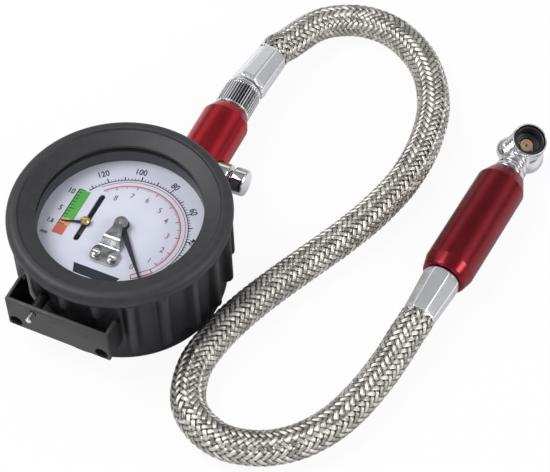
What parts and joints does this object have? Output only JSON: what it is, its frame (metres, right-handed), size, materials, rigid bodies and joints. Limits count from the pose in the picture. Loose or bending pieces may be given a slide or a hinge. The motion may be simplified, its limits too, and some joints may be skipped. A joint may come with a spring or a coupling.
{
  "type": "tire pressure gauge",
  "caption": "Dial pressure gauge in a ribbed rubber boot with a tread-depth slide, a braided hose, a grip and a swivel chuck for tyre valves.",
  "frame": {"origin": "centre of the round back face the gauge lies on", "axes": "+Z out of the dial, +Y along the hose stem away from the gauge, +X towards the bleed button"},
  "size_m": [0.1609, 0.2088, 0.0404],
  "materials": {
    "boot_rubber": "matt charcoal rubber",
    "black_plastic": "satin black moulding",
    "ring_plastic": "dark grey satin",
    "dial_white": "matt off-white print ground",
    "lens_clear": "clear and flat",
    "pointer_black": "matt black",
    "chrome": "bright plated",
    "aluminium": "bright drawn",
    "red_anodised": "dark red gloss anodised",
    "brass": "plain machined",
    "bronze": "drawn, slightly dull",
    "steel": "plain satin",
    "steel_braid": "braided wire",
    "seal_rubber": "soft black"
  },
  "bodies": {
    "gauge": {"rubber_boot": "boot_rubber", "tread_gauge_housing": "black_plastic", "gauge_case": "steel", "dial_ring": "ring_plastic", "lens": "lens_clear", "dial_plate": "dial_white", "pointer_bridge": "chrome", "bridge_screw_left": "chrome", "bridge_screw_right": "chrome", "movement_back_plate": "brass", "movement_front_plate": "brass", "front_plate_screw_1": "steel", "front_plate_screw_2": "steel", "front_plate_screw_3": "steel", "back_plate_screw_1": "steel", "back_plate_screw_2": "steel", "hairspring": "bronze", "bourdon_tube": "bronze", "tube_tip": "brass", "socket_block": "brass", "bleed_valve_body": "chrome", "bleed_spring": "steel", "stem_adapter": "red_anodised", "hose_ferrule_gauge": "aluminium", "braided_hose": "steel_braid", "hose_ferrule_chuck": "aluminium", "valve_handle": "red_anodised"},
    "pointer": {"pressure_pointer": "pointer_black", "pinion_arbor": "steel"},
    "sector": {"sector_gear": "brass"},
    "link": {"movement_link": "steel"},
    "depth_slide": {"depth_pin": "chrome", "depth_carriage": "brass", "depth_needle": "pointer_black", "carriage_screw": "brass"},
    "bleed_plunger": {"bleed_button": "chrome", "bleed_seal": "seal_rubber"},
    "nut": {"hose_nut": "chrome"},
    "chuck": {"chuck_body": "chrome", "chuck_seal": "seal_rubber", "chuck_core": "brass"}
  },
  "joints": [
    {"name": "sector_swing", "type": "hinge", "parent": "gauge", "child": "sector", "pos_m": [0.01719, 0.00992, 0.019], "axis": [0, 0, 1], "range_deg": [-20.1, 0]},
    {"name": "pointer_turn", "type": "hinge", "parent": "gauge", "child": "pointer", "pos_m": [0, 0, 0.03], "axis": [0, 0, 1], "range_deg": [0, 201]},
    {"name": "link_pivot", "type": "hinge", "parent": "sector", "child": "link", "pos_m": [0.02211, 0.01079, 0.0204], "axis": [0, 0, 1], "range_deg": [0, 20.1]},
    {"name": "depth_travel", "type": "slide", "parent": "gauge", "child": "depth_slide", "axis": [0, 1, 0], "range_m": [-0.0055, 0.0035]},
    {"name": "bleed_push", "type": "slide", "parent": "gauge", "child": "bleed_plunger", "axis": [-1, 0, 0], "range_m": [0, 0.0013], "stiffness_N_per_m": 1000, "springref_m": -0.001, "deforming": ["bleed_spring"]},
    {"name": "nut_turn", "type": "hinge", "parent": "gauge", "child": "nut", "pos_m": [0.0058, 0.0816, 0.012], "axis": [0, 1, 0], "continuous": true},
    {"name": "chuck_swivel", "type": "hinge", "parent": "gauge", "child": "chuck", "pos_m": [0.11149, 0.09043, 0.0096], "axis": [0.0802, 0.9968, 0], "continuous": true}
  ],
  "couplings": [
    {"joint": "pointer_turn", "follows": "sector_swing", "ratio": -10},
    {"joint": "link_pivot", "follows": "sector_swing", "ratio": -1}
  ]
}
